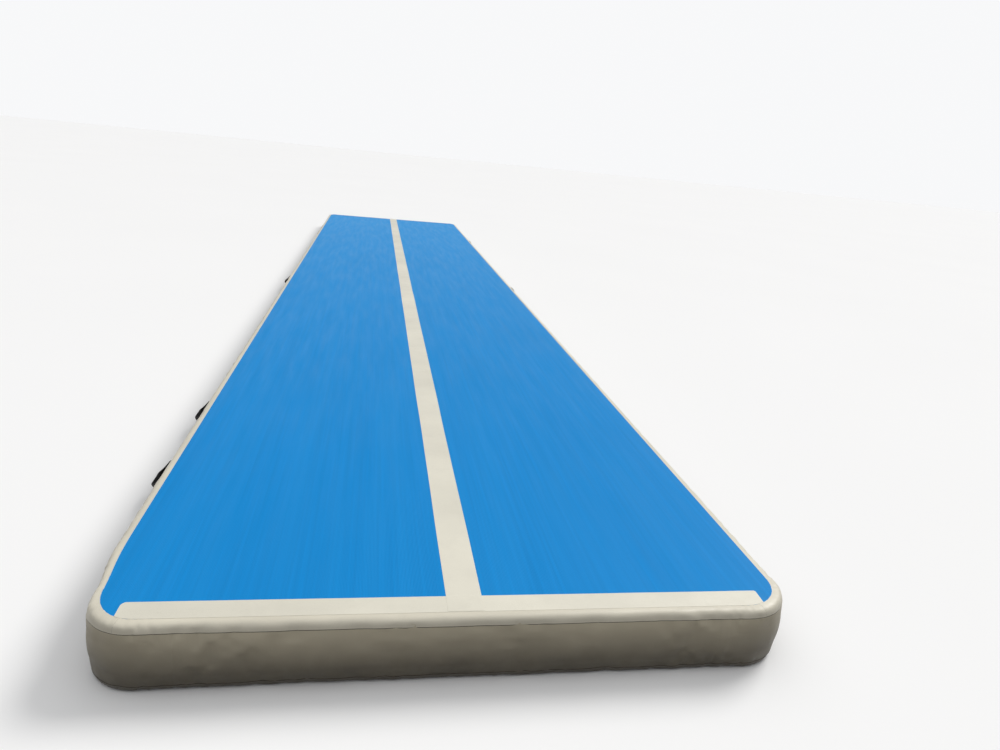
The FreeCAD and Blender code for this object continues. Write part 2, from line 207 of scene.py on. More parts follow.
def wall_angles(top, bottom, step=5 * MM):
    """Angles from top to bottom, evenly spaced along the section's line."""
    many = np.linspace(top, bottom, 2000)
    u, z = wall_line(many, 0.0)
    run = np.concatenate([[0], np.cumsum(np.hypot(np.diff(u), np.diff(z)))])
    count = max(3, int(run[-1] / step) + 1)
    return np.interp(np.linspace(0, run[-1], count), run, many)


def settled(points):
    """Where points of the even shape lie on the real, blown-up mat: its top edges roll off a little,
    and its near left corner is drawn in, mostly at the rim and the rest over the wall's swell."""
    moved = np.array(points, float)
    x, y, z = moved[..., 0].copy(), moved[..., 1].copy(), moved[..., 2].copy()
    from_side, from_end = FACE_HALF_W - np.abs(x), FACE_HALF_L - np.abs(y)
    roll = 1 - np.minimum(smooth(0.0, EDGE_ROLL_WIDTH, from_side), smooth(0.0, EDGE_ROLL_WIDTH, from_end))
    moved[..., 2] -= EDGE_ROLL * roll * smooth(0.6 * FACE_Z, 0.95 * FACE_Z, z)
    at_rim = smooth(CORNER_X, FACE_HALF_W, -x)
    over_wall = smooth(FACE_HALF_W - 10 * MM, FACE_HALF_W + BULGE, -x)
    beside = bump(y, -CORNER_Y - 10 * MM, CORNER_PULL_WIDTH)
    moved[..., 0] += CORNER_PULL * (0.6 * at_rim + 0.4 * over_wall) * beside
    return moved


# ---- meshes
def new_object(name, verts, faces, material, uvs=None, smooth_faces=True, loose=False):
    """A mesh object. uvs holds one pair for each vertex, in metres along the surface.
    A loose object isn't part of the mat's skin, so it stays in its even place."""
    mesh = bpy.data.meshes.new(name)
    placed = np.asarray(verts, float) if loose else settled(verts)
    mesh.from_pydata(placed.tolist(), [], faces)
    if uvs is not None:
        layer = mesh.uv_layers.new(name="surface")
        loops = np.zeros(len(mesh.loops), int)
        mesh.loops.foreach_get("vertex_index", loops)
        layer.data.foreach_set("uv", np.asarray(uvs, float)[loops].ravel())
    mesh.polygons.foreach_set("use_smooth", [smooth_faces] * len(mesh.polygons))
    mesh.materials.append(material)
    mesh.update()
    obj = bpy.data.objects.new(name, mesh)
    bpy.context.scene.collection.objects.link(obj)
    return obj


def grid_faces(rows, columns, start=0, closed=False):
    """Faces of a grid of vertices stored row by row."""
    faces = []
    for i in range(rows - 1):
        for j in range(columns if closed else columns - 1):
            a = start + i * columns + j
            b = start + i * columns + (j + 1) % columns
            faces.append((a, b, b + columns, a + columns))
    return faces


def with_rim(points, inward, depth, spread=0.0):
    """A grid of points, and a ring round it that falls by depth along inward, so that a sheet has an edge.
    spread slopes the ring outwards, as a bead of glue does."""
    rows, columns = points.shape[:2]
    inward = np.broadcast_to(inward, points.shape)
    ring = [(0, j) for j in range(columns)] + [(i, columns - 1) for i in range(1, rows)]
    ring += [(rows - 1, j) for j in range(columns - 2, -1, -1)] + [(i, 0) for i in range(rows - 2, 0, -1)]
    start = rows * columns
    beyond = np.array([points[i, j] - points[min(max(i, 1), rows - 2), min(max(j, 1), columns - 2)]
                       for i, j in ring])
    beyond /= np.linalg.norm(beyond, axis=1)[:, None]
    top = np.array([points[i, j] for i, j in ring])
    low = top + np.array([inward[i, j] for i, j in ring]) * depth + beyond * spread
    verts = np.concatenate([points.reshape(-1, 3), top, low])
    faces = grid_faces(rows, columns)
    n = len(ring)
    for k in range(n):
        after = (k + 1) % n
        faces.append((start + after, start + k, start + n + k, start + n + after))
    return verts, faces, ring


# ---- how the inflated fabric lies
SIM_ANGLES = wall_angles(RIGHT_ANGLE, -RIGHT_ANGLE, 16 * MM)
SIM_STATIONS = stations(0.0, ROUND, 30 * MM, 9 * MM)[:-1]
SIM_FRAMES = 20


def inflate_band():
    """Blows up a band of cloth held along both edges, a little longer than the edge it is sewn to.
    Returns how far each point of it stands out from the even shape, by distance round and by row."""
    s = SIM_STATIONS
    u, z = wall_line(SIM_ANGLES, 0.0)
    verts, normal = wall_points(s, u, z), wall_normals(s, SIM_ANGLES)
    first_waves = waves(s[:, None], z[None, :] * 3, 0.05, 3) * 0.4 * MM * np.cos(SIM_ANGLES)
    start = verts + normal * first_waves[..., None]
    count, rows = start.shape[:2]
    faces = []
    for i in range(count):
        for j in range(rows - 1):
            a, b = i * rows + j, (i + 1) % count * rows + j
            faces.append((a, a + 1, b + 1, b))
    band = new_object("cloth_band", start.reshape(-1, 3), faces, None, loose=True)
    pins = band.vertex_groups.new(name="pins")
    pins.add([i * rows + j for i in range(count) for j in (0, rows - 1)], 1.0, "REPLACE")
    cloth = band.modifiers.new("cloth", "CLOTH")
    settings = cloth.settings
    settings.quality = 6
    settings.mass = 0.4
    settings.tension_stiffness = settings.compression_stiffness = 30
    settings.shear_stiffness = 12
    settings.bending_stiffness = 0.8
    settings.vertex_group_mass = "pins"
    settings.use_pressure = True
    settings.uniform_pressure_force = 5
    settings.shrink_min = -0.012
    settings.effector_weights.gravity = 0
    cloth.point_cache.frame_start = 1
    cloth.point_cache.frame_end = SIM_FRAMES + 4
    for number in range(1, SIM_FRAMES + 1):
        bpy.context.scene.frame_set(number)
    solved = band.evaluated_get(bpy.context.evaluated_depsgraph_get()).to_mesh()
    moved = np.zeros(len(solved.vertices) * 3)
    solved.vertices.foreach_get("co", moved)
    band.to_mesh_clear()
    moved = moved.reshape(count, rows, 3)
    bpy.data.objects.remove(band, do_unlink=True)
    bpy.context.scene.frame_set(1)
    return ((moved - verts) * normal).sum(axis=-1)


def band_relief():
    """The simulated cloth's wrinkles: its stand-out less the even swell."""
    out = inflate_band()
    out = out - np.median(out, axis=0)
    return np.clip(out, -4 * MM, 4 * MM)


BAND_OUT = band_relief()


def sampled_band(s, angles):
    """The wrinkles at the given places."""
    s = np.mod(s, ROUND)
    rows = np.interp(angles, SIM_ANGLES[::-1], np.arange(len(SIM_ANGLES))[::-1])
    columns = np.interp(s, np.append(SIM_STATIONS, ROUND), np.arange(len(SIM_STATIONS) + 1))
    i, j = np.floor(columns).astype(int), np.minimum(np.floor(rows).astype(int), len(SIM_ANGLES) - 2)
    fi, fj = columns - i, rows - j
    a = BAND_OUT[i % len(SIM_STATIONS)]
    b = BAND_OUT[(i + 1) % len(SIM_STATIONS)]
    blended = a * (1 - fi[:, None]) + b * fi[:, None]
    return blended[:, j] * (1 - fj) + blended[:, j + 1] * fj


def turn_nearness(s):
    """1 round a corner, falling to 0 a little past it."""
    s = np.mod(s, ROUND)
    near = np.full(s.shape, 9.9)
    for i in (1, 3, 5, 7):
        near = np.minimum(near, np.maximum(np.maximum(STARTS[i] - s, s - STARTS[i + 1]), 0))
    return 1 - smooth(0.0, 0.09, near)


def joint_of(body):
    """The record's joint that moves a body."""
    return next(j for j in frame["record"]["behaviour"]["joints"] if j["child"] == body)


def side_place(side, y):
    """Distance round the edge of a place at y on the left (-1) or right (1) side."""
    return STARTS[2] + CORNER_Y + y if side > 0 else STARTS[6] + CORNER_Y - y


def each_handle():
    """Each handle's body, side (-1 left, 1 right), number along its side, and joint."""
    for name, side in (("left", -1), ("right", 1)):
        for number in range(1, 6):
            body = f"handle_{name}_{number}"
            yield body, side, number, joint_of(body)


# The things fixed to the wall: where each is round the edge, and how far it reaches either way.
FIXTURES = [(side_place(side, joint["pos_m"][1]), HANDLE_REACH) for _, side, _, joint in each_handle()]
FIXTURES.append((VALVE_PLACE, (VALVE_HIGH[0] - VALVE_LOW[0]) / 2 + 15 * MM))


def calm(s):
    """0 where something is fixed to the wall, which holds it smooth, and 1 away from it."""
    free = np.ones(np.shape(s))
    for place, reach in FIXTURES:
        away = np.abs(np.mod(s - place + ROUND / 2, ROUND) - ROUND / 2)
        free = free * smooth(reach, reach + CALM_WIDTH, away)
    return free


def relief(s, angles):
    """How far the wall's layers stand out from their even shape at each place, in metres."""
    free = np.clip(np.cos(angles), 0, 1) ** 0.7
    fold = sampled_band(s, angles)
    height = np.sin(angles)[None, :]
    pucker = waves(s[:, None], height * 0.02, 0.022, 11, 2, ROUND) * bump(np.abs(height), 0.86, 0.14)
    slack = waves(s[:, None], height * 0.16, 0.31, 5, 2, ROUND) * 0.7 * MM
    corner = turn_nearness(s)[:, None]
    return calm(s)[:, None] * free * (fold + slack) + corner * pucker * 0.9 * MM


def layer_mesh(name, s0, s1, top, bottom, offset, material, flat=0.0, extra=None, bead=0.0):
    """A layer of the wall from s0 to s1 round the edge, between two angles of its normal.
    flat is how far it goes on to the flat face, and bead how far its glued rim slopes outwards."""
    s = stations(s0, s1)
    angles = wall_angles(top, bottom, 4 * MM if abs(top - bottom) < 1.2 else 6 * MM)
    shelf = np.linspace(flat, 0, 5)[:-1] if flat else np.zeros(0)
    if flat and top < RIGHT_ANGLE:
        all_angles = np.concatenate([angles, np.full(len(shelf), -RIGHT_ANGLE)])
        inset = np.concatenate([np.zeros(len(angles)), shelf[::-1]])
    else:
        all_angles = np.concatenate([np.full(len(shelf), RIGHT_ANGLE), angles])
        inset = np.concatenate([shelf, np.zeros(len(angles))])
    u, z = wall_line(all_angles, offset)
    out = relief(s, all_angles)
    if extra is not None:
        out = out + extra(s, all_angles)
    u = u[None, :] - inset[None, :] + out * np.cos(all_angles)
    z = z[None, :] + out * np.sin(all_angles)
    verts, faces, ring = with_rim(wall_points(s, u, z), -wall_normals(s, all_angles), LAYER, bead)
    faces = clear_of_valve(verts, faces)
    even_u, even_z = wall_line(all_angles, 0)
    run = np.concatenate([[0], np.cumsum(np.hypot(np.diff(even_u - inset), np.diff(even_z)))])
    uv = np.stack(np.broadcast_arrays(s[:, None], run[None, :]), axis=-1)
    edge_uv = np.array([uv[i, j] for i, j in ring])
    uvs = np.concatenate([uv.reshape(-1, 2), edge_uv, edge_uv])
    layer = new_object(name, verts, faces, material, uvs)
    if bead:
        paint_bead(layer, ring, len(all_angles), top > -bottom)
    return layer


def clear_of_valve(verts, faces):
    """Leaves out the faces where the valve goes through the wall. Its flange covers the hole's edge."""
    verts = np.asarray(verts)
    off_axis = np.hypot(verts[:, 0] - VALVE_X, verts[:, 2] - VALVE_Z)
    inside = (off_axis < VALVE_HOLE) & (verts[:, 1] > CORNER_Y)
    return [face for face in faces if not any(inside[k] for k in face)]


def paint_bead(layer, ring, columns, upper):
    """Gives a layer's sloping rim the dark line's material, partly painted shadow and partly glue dust, or,
    next to the face, the pale painted highlight.
    """
    layer.data.materials.append(SHADOW_AND_GLUE_LINE)
    layer.data.materials.append(EDGE_GLINT)
    face_side = 0 if upper else columns - 1
    first = len(layer.data.polygons) - len(ring)
    for k in range(len(ring)):
        (_, j), (_, after) = ring[k], ring[(k + 1) % len(ring)]
        on_face = j == after == face_side
        layer.data.polygons[first + k].material_index = 2 if on_face else 1


# ---- materials
class Nodes:
    """A small builder for one material's nodes."""

    def __init__(self, name, **values):
        self.material = bpy.data.materials.new(name)
        self.material.use_nodes = True
        self.tree = self.material.node_tree
        self.shader = self.tree.nodes["Principled BSDF"]
        for key, value in values.items():
            self.shader.inputs[key.replace("_", " ")].default_value = value

    def node(self, kind, inputs=None, **settings):
        made = self.tree.nodes.new(kind)
        for key, value in settings.items():
            setattr(made, key, value)
        for key, value in (inputs or {}).items():
            if isinstance(value, bpy.types.NodeSocket):
                self.tree.links.new(value, made.inputs[key])
            else:
                made.inputs[key].default_value = value
        return made

    def math(self, operation, a, b=0.5):
        return self.node("ShaderNodeMath", {0: a, 1: b}, operation=operation).outputs[0]

    def uv(self, scale=(1, 1, 1)):
        source = self.node("ShaderNodeTexCoord").outputs["UV"]
        return self.node("ShaderNodeMapping", {"Vector": source, "Scale": scale}).outputs[0]

    def place(self, scale=(1, 1, 1)):
        source = self.node("ShaderNodeTexCoord").outputs["Object"]
        return self.node("ShaderNodeMapping", {"Vector": source, "Scale": scale}).outputs[0]

    def noise(self, vector, scale, detail=3.0, roughness=0.5):
        inputs = {"Vector": vector, "Scale": scale, "Detail": detail, "Roughness": roughness}
        return self.node("ShaderNodeTexNoise", inputs).outputs[0]

    def spread(self, value, low, high, to_low, to_high):
        inputs = {0: value, 1: low, 2: high, 3: to_low, 4: to_high}
        return self.node("ShaderNodeMapRange", inputs).outputs[0]

    def axis(self, vector, k):
        return self.node("ShaderNodeSeparateXYZ", {0: vector}).outputs[k]

    def wave(self, value, pitch):
        """A sine of value that repeats after every pitch."""
        return self.math("SINE", self.math("MULTIPLY", value, 2 * math.pi / pitch))

    def over(self, tone, colour, value, low, high, most=1.0):
        """tone, with colour laid over it by nothing where value is low and by most where it is high."""
        return self.mix(self.spread(value, low, high, 0.0, most), tone, colour)

    def mix(self, factor, a, b):
        made = self.node("ShaderNodeMix", data_type="RGBA")
        for index, value in ((0, factor), (6, a), (7, b)):
            if isinstance(value, bpy.types.NodeSocket):
                self.tree.links.new(value, made.inputs[index])
            else:
                made.inputs[index].default_value = (*value, 1) if isinstance(value, tuple) else value
        return made.outputs[2]

    def bump(self, height, strength, distance, onto=None):
        inputs = {"Height": height, "Strength": strength, "Distance": distance}
        if onto is not None:
            inputs["Normal"] = onto
        return self.node("ShaderNodeBump", inputs).outputs[0]

    def done(self, colour, roughness=None, normal=None):
        self.tree.links.new(colour, self.shader.inputs["Base Color"])
        if roughness is not None:
            self.tree.links.new(roughness, self.shader.inputs["Roughness"])
        if normal is not None:
            self.tree.links.new(normal, self.shader.inputs["Normal"])
        return self.material


def shade(colour, factor):
    return tuple(min(1.0, c * factor) for c in colour)


def weave(nodes, vector, pitch):
    """Height of a plain weave, from two crossed waves."""
    across, along = [nodes.wave(nodes.axis(vector, k), pitch) for k in (0, 1)]
    return nodes.math("MULTIPLY", across, along)


def vinyl(name, colour, roughness=0.42, pitch=1.6 * MM, grime=0.25, coords="uv", depth=0.12 * MM):
    """Coated fabric: the weave shows faintly through, with soft blotches, scuffs and dust."""
    nodes = Nodes(name, Specular_IOR_Level=0.45, Sheen_Weight=0.08, Sheen_Roughness=0.4)
    vector = nodes.uv() if coords == "uv" else nodes.place()
    tone = nodes.over(shade(colour, 0.93), shade(colour, 1.05), nodes.noise(vector, 3.2, 4), 0.35, 0.7)
    tone = nodes.over(tone, shade(colour, 0.62), nodes.noise(vector, 14, 5, 0.65), 0.55, 0.8, grime)
    tone = nodes.over(tone, shade(colour, 0.5), nodes.noise(vector, 190, 2), 0.6, 0.8, 0.12)
    rough = nodes.spread(nodes.noise(vector, 22, 4), 0.3, 0.75, roughness - 0.07, roughness + 0.12)
    cloth = nodes.bump(weave(nodes, vector, pitch), 0.35, depth)
    return nodes.done(tone, rough, nodes.bump(nodes.noise(vector, 55, 3), 0.25, 0.5 * MM, cloth))


def tumbling_vinyl():
    """The blue face: fine ribs and paler streaks that run along the mat, and a painted reflection that
    pales it towards the far end.
    """
    blue, worn, far_reflection = (0.004, 0.232, 0.60), (0.012, 0.262, 0.64), (0.045, 0.34, 0.74)
    nodes = Nodes("tumbling_vinyl", Specular_IOR_Level=0.09)
    place = nodes.place()
    streak = nodes.noise(nodes.place((1, 0.012, 1)), 75, 3, 0.6)
    broad = nodes.noise(nodes.place((1, 0.05, 1)), 9, 4, 0.55)
    tone = nodes.over(shade(blue, 0.95), shade(blue, 1.06), streak, 0.3, 0.72)
    tone = nodes.over(tone, worn, broad, 0.45, 0.75, 0.35)
    tone = nodes.over(tone, shade(blue, 0.82), nodes.noise(place, 1.3, 3), 0.5, 0.8, 0.2)
    # painted reflection: the face pales along the mat towards the far end, as the sky's reflection does at
    # a grazing view
    tone = nodes.over(tone, far_reflection, nodes.axis(place, 1), -4.0, 5.0, 0.55)
    rough = nodes.spread(nodes.noise(nodes.place((1, 0.1, 1)), 24, 4), 0.3, 0.75, 0.45, 0.62)
    normal = nodes.bump(nodes.wave(nodes.axis(place, 0), 4 * MM), 0.5, 0.2 * MM)
    normal = nodes.bump(streak, 0.3, 0.6 * MM, normal)
    return nodes.done(tone, rough, nodes.bump(nodes.noise(place, 120, 2), 0.2, 0.3 * MM, normal))


def wall_vinyl():
    """The wall's cream vinyl, with painted shade that darkens it, in patches, towards the floor."""
    cream, painted_low_shade = (0.585, 0.53, 0.40), (0.13, 0.115, 0.092)
    nodes = Nodes("wall_vinyl", Specular_IOR_Level=0.4, Sheen_Weight=0.06, Sheen_Roughness=0.45)
    place, vector = nodes.place(), nodes.uv()
    tone = nodes.over(shade(cream, 0.9), shade(cream, 1.04), nodes.noise(vector, 4.5, 4), 0.35, 0.7)
    # Painted shade: below a height the wall is mixed towards the second, dark colour, broken into patches.
    low = nodes.spread(nodes.axis(place, 2), 0.06, 0.172, 1.0, 0.0)
    patchy = nodes.spread(nodes.noise(place, 11, 5, 0.6), 0.2, 0.8, 0.7, 1.0)
    tone = nodes.mix(nodes.math("MULTIPLY", nodes.math("MULTIPLY", low, patchy), 0.85), tone, painted_low_shade)
    scuff = nodes.noise(nodes.uv((0.25, 1, 1)), 42, 4, 0.6)
    tone = nodes.over(tone, shade(cream, 0.6), scuff, 0.62, 0.8, 0.35)
    rough = nodes.spread(nodes.noise(vector, 25, 4), 0.3, 0.75, 0.42, 0.62)
    cloth = nodes.bump(weave(nodes, vector, 1.6 * MM), 0.35, 0.12 * MM)
    return nodes.done(tone, rough, nodes.bump(nodes.noise(vector, 40, 3), 0.3, 0.6 * MM, cloth))


def webbing_cloth():
    """Black ribbed webbing, its ribs running along and its picks across, worn paler on the high threads."""
    nodes = Nodes("webbing_cloth", Specular_IOR_Level=0.2, Sheen_Weight=0.08, Sheen_Roughness=0.4)
    vector = nodes.uv()
    pick = nodes.wave(nodes.axis(vector, 0), 2.2 * MM)
    rib = nodes.wave(nodes.axis(vector, 1), 3.2 * MM)
    height = nodes.math("ADD", nodes.math("MULTIPLY", pick, 0.6), rib)
    fuzz = nodes.noise(vector, 900, 2)
    tone = nodes.over((0.003, 0.003, 0.0035), (0.018, 0.018, 0.02), height, -1.0, 1.6)
    tone = nodes.over(tone, (0.035, 0.035, 0.038), fuzz, 0.55, 0.8, 0.4)
    return nodes.done(tone, nodes.spread(fuzz, 0.3, 0.7, 0.6, 0.85), nodes.bump(height, 0.7, 0.35 * MM))


def moulded(name, colour, roughness=0.34):
    """Moulded plastic with a fine grain, slight cloudiness and dull wear."""
    nodes = Nodes(name, Specular_IOR_Level=0.5)
    place = nodes.place()
    tone = nodes.over(shade(colour, 0.88), shade(colour, 1.1), nodes.noise(place, 38, 3), 0.3, 0.7)
    tone = nodes.over(tone, shade(colour, 1.8), nodes.noise(place, 150, 4, 0.7), 0.6, 0.8, 0.25)
    rough = nodes.spread(nodes.noise(place, 90, 3), 0.3, 0.75, roughness - 0.06, roughness + 0.14)
    return nodes.done(tone, rough, nodes.bump(nodes.noise(place, 2080, 2), 0.25, 0.05 * MM))


def glue_line():
    """A dark line along a glued edge: partly painted shadow under the edge, partly dust that clings to the
    glue.
    """
    nodes = Nodes("glue_line", Specular_IOR_Level=0.3)
    vector = nodes.uv()
    tone = nodes.over((0.045, 0.04, 0.032), (0.13, 0.115, 0.09), nodes.noise(vector, 30, 4, 0.6), 0.3, 0.7)
    rough = nodes.spread(nodes.noise(vector, 120, 2), 0.3, 0.7, 0.5, 0.75)
    return nodes.done(tone, rough, nodes.bump(nodes.noise(vector, 300, 2), 0.4, 0.3 * MM))


def cut_edge():
    """A painted highlight: the pale glint along a tape's edge."""
    nodes = Nodes("cut_edge", Specular_IOR_Level=0.35)
    vector = nodes.uv()
    tone = nodes.mix(nodes.noise(vector, 60, 3), (0.62, 0.64, 0.62), (0.85, 0.86, 0.83))
    rough = nodes.spread(nodes.noise(vector, 120, 2), 0.3, 0.7, 0.45, 0.65)
    return nodes.done(tone, rough, nodes.bump(nodes.noise(vector, 400, 2), 0.3, 0.2 * MM))


def spring_wire():
    """Drawn steel wire."""
    nodes = Nodes("spring_wire", Metallic=1.0)
    place = nodes.place()
    tone = nodes.mix(nodes.noise(place, 300, 3), (0.45, 0.45, 0.47), (0.68, 0.68, 0.7))
    rough = nodes.spread(nodes.noise(place, 800, 2), 0.3, 0.7, 0.22, 0.4)
    return nodes.done(tone, rough, nodes.bump(nodes.noise(place, 3000, 2), 0.2, 0.02 * MM))


def woven_cloth(name, colour, pitch):
    """Uncoated plain-woven polyester."""
    nodes = Nodes(name, Specular_IOR_Level=0.2, Sheen_Weight=0.25, Sheen_Roughness=0.5)
    place = nodes.place()
    height = weave(nodes, place, pitch)
    tone = nodes.over(shade(colour, 0.75), shade(colour, 1.08), height, -1.0, 1.0)
    tone = nodes.over(tone, shade(colour, 0.8), nodes.noise(place, 6, 4), 0.4, 0.8, 0.3)
    rough = nodes.spread(nodes.noise(place, 400, 2), 0.3, 0.7, 0.7, 0.9)
    return nodes.done(tone, rough, nodes.bump(height, 0.6, 0.3 * MM))


BLUE = tumbling_vinyl()
WALL = wall_vinyl()
TAPE = vinyl("tape_vinyl", (0.66, 0.62, 0.51), 0.4, 1.3 * MM, 0.22)
# the bottom tapes: the top tapes' vinyl made much darker with painted shade
SHADED_LOW_TAPE = vinyl("low_tape_vinyl", (0.24, 0.215, 0.175), 0.5, 1.3 * MM, 0.6)
STRIP = vinyl("strip_vinyl", (0.72, 0.69, 0.585), 0.42, 1.6 * MM, 0.16, "place")
UNDERSIDE = vinyl("underside_vinyl", (0.20, 0.21, 0.225), 0.6, 3.0 * MM, 0.4, "place", 0.3 * MM)
LINING = vinyl("lining_vinyl", (0.40, 0.37, 0.30), 0.5, 1.6 * MM, 0.2, "place")
# the rims' dark line, partly painted shadow and partly glue dust
SHADOW_AND_GLUE_LINE = glue_line()
# the pale painted highlight along a tape's edge
EDGE_GLINT = cut_edge()
PATCH = vinyl("patch_vinyl", (0.46, 0.42, 0.33), 0.45, 1.4 * MM, 0.3)
WEBBING = webbing_cloth()
THREAD = woven_cloth("thread_fibre", (0.035, 0.035, 0.04), 0.4 * MM)
CLOTH = woven_cloth("base_cloth_weave", (0.62, 0.60, 0.56), 1.2 * MM)
YARN = woven_cloth("yarn_fibre", (0.72, 0.71, 0.67), 0.5 * MM)
DARK_PLASTIC = moulded("dark_plastic", (0.028, 0.029, 0.032))
PALE_PLASTIC = moulded("pale_plastic", (0.33, 0.34, 0.36), 0.3)
SOFT_PLASTIC = moulded("soft_plastic", (0.02, 0.02, 0.022), 0.5)
RUBBER = moulded("seal_rubber", (0.012, 0.012, 0.012), 0.6)


def on_mat(obj, node):
    """Lets a piece stand for a CAD node of the mat's own body: the node is hidden and the piece is attached
    to the mat.
    """
    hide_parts(node)
    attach(obj, MAT)


# ---- faces, strips
FACE_STEP_X, FACE_STEP_Y = 20 * MM, 50 * MM
STRIP_CORNER_LEFT, STRIP_CORNER_RIGHT = 15 * MM, 5 * MM


def face_height(x, y):
    """The face's slight unevenness: shallow waves that die away at its edge."""
    ripple = waves(x, y * 0.5, 0.35, 21, 2) * 0.35 * MM
    edge = np.minimum(SKIN_HIGH[0] - np.abs(x), SKIN_HIGH[1] - np.abs(y))
    return ripple * smooth(0.0, 0.12, edge)


def face_mesh(name, node, material, radius, up):
    """A flat sheet in a CAD node's place, its grid drawn in round its corners. up is -1 under the mat."""
    low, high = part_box(node)
    half_w, half_l = (high[0] - low[0]) / 2, (high[1] - low[1]) / 2
    xs = sheet_lines(half_w, radius, FACE_STEP_X)
    ys = sheet_lines(half_l, radius, FACE_STEP_Y)
    x, y = np.meshgrid(xs, ys, indexing="ij")
    over = np.clip(np.abs(x) - (half_w - radius), 0, radius) / radius
    reach = radius * np.sqrt(np.clip(1 - over ** 2, 0, 1))
    inner = half_l - radius
    drawn_in = np.sign(y) * (inner + (np.abs(y) - inner) * reach / radius)
    y = np.where(np.abs(y) > inner, drawn_in, y)
    x, y = x + (high[0] + low[0]) / 2, y + (high[1] + low[1]) / 2
    height = high[2] + face_height(x, y) if up > 0 else np.full_like(x, low[2])
    points = np.stack([x, y, height], axis=-1)
    if up < 0:
        points = points[:, ::-1]
    verts, faces, _ = with_rim(points, (0.0, 0.0, -up), LAYER)
    return new_object(name, verts, faces, material, verts[:, :2])


def sheet_lines(half, radius, step):
    """Grid lines across a sheet, with extra ones that get closer towards its rounded edges."""
    even = np.linspace(-half, half, int(2 * half / step) + 2)
    edge = half - radius * np.linspace(0, 1, 24) ** 2
    return np.unique(np.concatenate([even, -edge, edge]))


def make_faces():
    for name, node, slot, material, radius, up in (
            ("tumbling_face", "top_skin", "blue_vinyl", BLUE, SKIN_CORNER, 1),
            ("resting_face", "bottom_skin", "underside_vinyl", UNDERSIDE, SKIN_CORNER, -1),
            ("top_cloth_weave", "top_base_cloth", "base_cloth", CLOTH, CORNER_RADIUS, 1),
            ("bottom_cloth_weave", "bottom_base_cloth", "base_cloth", CLOTH, CORNER_RADIUS, -1)):
        face = face_mesh(name, node, material, radius, up)
        on_mat(face, node)


def make_centre_line():
    """The line down the middle. It lies on the end strips, so it climbs on to them with a soft step."""
    xs = np.linspace(LINE_LOW[0], LINE_HIGH[0], 14)
    steps = [np.linspace(edge - 0.03, edge + 0.03, 25) for edge in (STRIP_HIGH[1], -STRIP_HIGH[1])]
    ys = np.unique(np.concatenate([np.linspace(LINE_LOW[1], LINE_HIGH[1], 260), *steps]))
    ys = ys[(ys >= LINE_LOW[1]) & (ys <= LINE_HIGH[1])]
    x, y = np.meshgrid(xs, ys, indexing="ij")
    sides = np.sign(x) * waves(y, 0 * y, 1.4, 31, 2) * 0.8 * MM * smooth(0.03, 0.05, np.abs(x))
    strip = STRIP_HIGH[2] - FACE_Z
    climb = smooth(-6 * MM, 1 * MM, np.abs(y) - abs(STRIP_HIGH[1])) * strip
    z = FACE_Z + strip + climb + face_height(x, y)
    points = np.stack([x + sides, y, z], axis=-1)
    verts, faces, _ = with_rim(points, DOWN, strip)
    line = new_object("centre_stripe", verts, faces, STRIP, verts[:, :2])
    on_mat(line, "centre_line")


def make_end_strip(end):
    """The strip across one end. Its inner corners are rounded and its outer edge goes under the tape."""
    low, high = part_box(f"end_strip_{end}")
    sign = -1 if end == "near" else 1
    xs = np.unique(np.concatenate([np.linspace(low[0], high[0], 90),
                                   low[0] + STRIP_CORNER_LEFT * np.linspace(0, 1, 14) ** 2,
                                   high[0] - STRIP_CORNER_RIGHT * np.linspace(0, 1, 14) ** 2]))
    across = np.linspace(0, 1, 12)
    x, t = np.meshgrid(xs, across, indexing="ij")
    from_end = np.minimum(x - low[0], high[0] - x)
    radius = np.where(x < 0, STRIP_CORNER_LEFT, STRIP_CORNER_RIGHT)
    cut = radius - np.sqrt(np.clip(radius ** 2 - np.clip(radius - from_end, 0, radius) ** 2, 0, None))
    inner_y = (low[1] if sign > 0 else high[1]) + sign * cut
    y = inner_y + (sign * outer_limit(x) - inner_y) * t
    z = high[2] + face_height(x, y)
    points = np.stack([x, y, z], axis=-1)
    if sign < 0:
        points = points[:, ::-1]
    verts, faces, _ = with_rim(points, DOWN, high[2] - low[2])
    strip = new_object(f"end_band_{end}", verts, faces, STRIP, verts[:, :2])
    on_mat(strip, f"end_strip_{end}")


def outer_limit(x):
    """How far out the blue skin reaches at x, along the mat."""
    over = np.clip(np.abs(x) - (SKIN_HIGH[0] - SKIN_CORNER), 0, SKIN_CORNER)
    return SKIN_HIGH[1] - SKIN_CORNER + np.sqrt(SKIN_CORNER ** 2 - over ** 2)


# ---- walls and tapes
def wall_ranges():
    """Where each outer wall runs round the edge."""
    return {"end_wall_near": (-WALL_SEAM_X, WALL_SEAM_X),
            "side_wall_right": (WALL_SEAM_X, FAR_MIDDLE - WALL_SEAM_X),
            "end_wall_far": (FAR_MIDDLE - WALL_SEAM_X, FAR_MIDDLE + WALL_SEAM_X),
            "side_wall_left": (FAR_MIDDLE + WALL_SEAM_X, ROUND - WALL_SEAM_X)}


def tape_ranges():
    """Where each seam tape runs round the edge."""
    lap = CORNER_RADIUS * math.radians(17)
    past = CORNER_Y - TAPE_JOINT_Y
    end = CORNER_X + lap
    return {"near": (-end, end), "corner_near_right": (end, STARTS[2] + past),
            "right": (STARTS[2] + past, STARTS[3] - past),
            "corner_far_right": (STARTS[3] - past, FAR_MIDDLE - end),
            "far": (FAR_MIDDLE - end, FAR_MIDDLE + end),
            "corner_far_left": (FAR_MIDDLE + end, STARTS[6] + past),
            "left": (STARTS[6] + past, STARTS[7] - past),
            "corner_near_left": (STARTS[7] - past, ROUND - end)}


SEAMS = sorted({round(float(np.mod(s, ROUND)), 5) for pair in wall_ranges().values() for s in pair})


